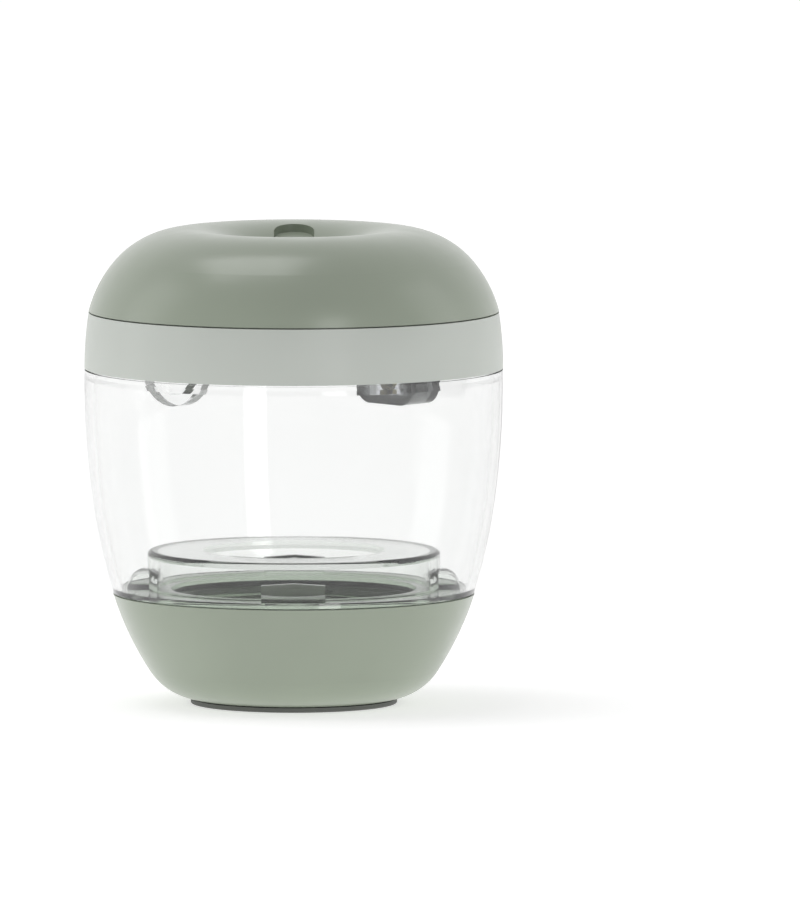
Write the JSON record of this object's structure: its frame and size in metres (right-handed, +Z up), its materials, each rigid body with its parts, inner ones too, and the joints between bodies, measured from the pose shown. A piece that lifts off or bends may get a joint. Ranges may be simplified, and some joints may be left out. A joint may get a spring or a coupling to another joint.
{
  "type": "bottle steriliser",
  "caption": "Round cordless UV-C steriliser for a teat or soother: opaque base, clear vessel with threaded neck collar, lamp head with dished top.",
  "frame": {"origin": "on the surface it stands on, under the centre of the foot ring", "axes": "+Z up the object's axis, -Y the front, +Y the side with the charging inlet and the button"},
  "size_m": [0.088, 0.088, 0.1],
  "materials": {
    "olive_plastic": "satin grey-green",
    "pale_plastic": "satin pale green-grey",
    "clear_plastic": "clear gloss plastic",
    "smoked_plastic": "smoked gloss plastic",
    "window_glass": "clear quartz",
    "white_plastic": "satin",
    "grey_rubber": "matt",
    "clear_rubber": "milky silicone",
    "magnet_metal": "plated",
    "bright_metal": "bright",
    "board_metal": "white solder mask on aluminium",
    "lamp_ceramic": "ceramic",
    "board_green": "solder mask",
    "black_plastic": "moulded",
    "cell_wrap": "shrink film"
  },
  "bodies": {
    "base": {"base_cup": "olive_plastic", "foot_ring": "grey_rubber"},
    "base_seal": {"base_seal": "clear_rubber"},
    "vessel": {"clear_vessel": "clear_plastic", "neck_collar": "clear_plastic", "interlock_magnet": "magnet_metal"},
    "head": {"dome_cover": "olive_plastic", "accent_band": "pale_plastic", "lamp_deck": "white_plastic", "head_gasket": "clear_rubber", "lanyard_anchor": "olive_plastic", "uvc_pod_housing": "smoked_plastic", "uvc_window": "window_glass", "uvc_reflector": "bright_metal", "uvc_led_board": "board_metal", "uvc_led": "lamp_ceramic", "status_light_ring": "clear_plastic", "status_led": "lamp_ceramic", "main_board": "board_green", "board_components": "black_plastic", "board_screws": "bright_metal", "deck_screws": "bright_metal", "battery_pad": "grey_rubber", "battery_cell": "cell_wrap", "usb_socket": "bright_metal", "tact_switch": "black_plastic", "switch_bracket": "board_green", "hall_sensor": "black_plastic"},
    "button": {"power_button": "pale_plastic"}
  },
  "joints": [
    {"name": "base_twist", "type": "hinge", "parent": "base", "child": "base_seal", "pos_m": [0, 0, 0.0222], "axis": [0, 0, 1], "range_deg": [0, 36]},
    {"name": "vessel_lift", "type": "slide", "parent": "base_seal", "child": "vessel", "axis": [0, 0, 1], "range_m": [0, 0.03]},
    {"name": "head_lift", "type": "slide", "parent": "vessel", "child": "head", "axis": [0, 0, 1], "range_m": [0, 0.03]},
    {"name": "button_press", "type": "slide", "parent": "head", "child": "button", "axis": [0.4226, -0.9063, 0], "range_m": [0, 0.0006], "stiffness_N_per_m": 1200, "springref_m": -0.0004}
  ]
}
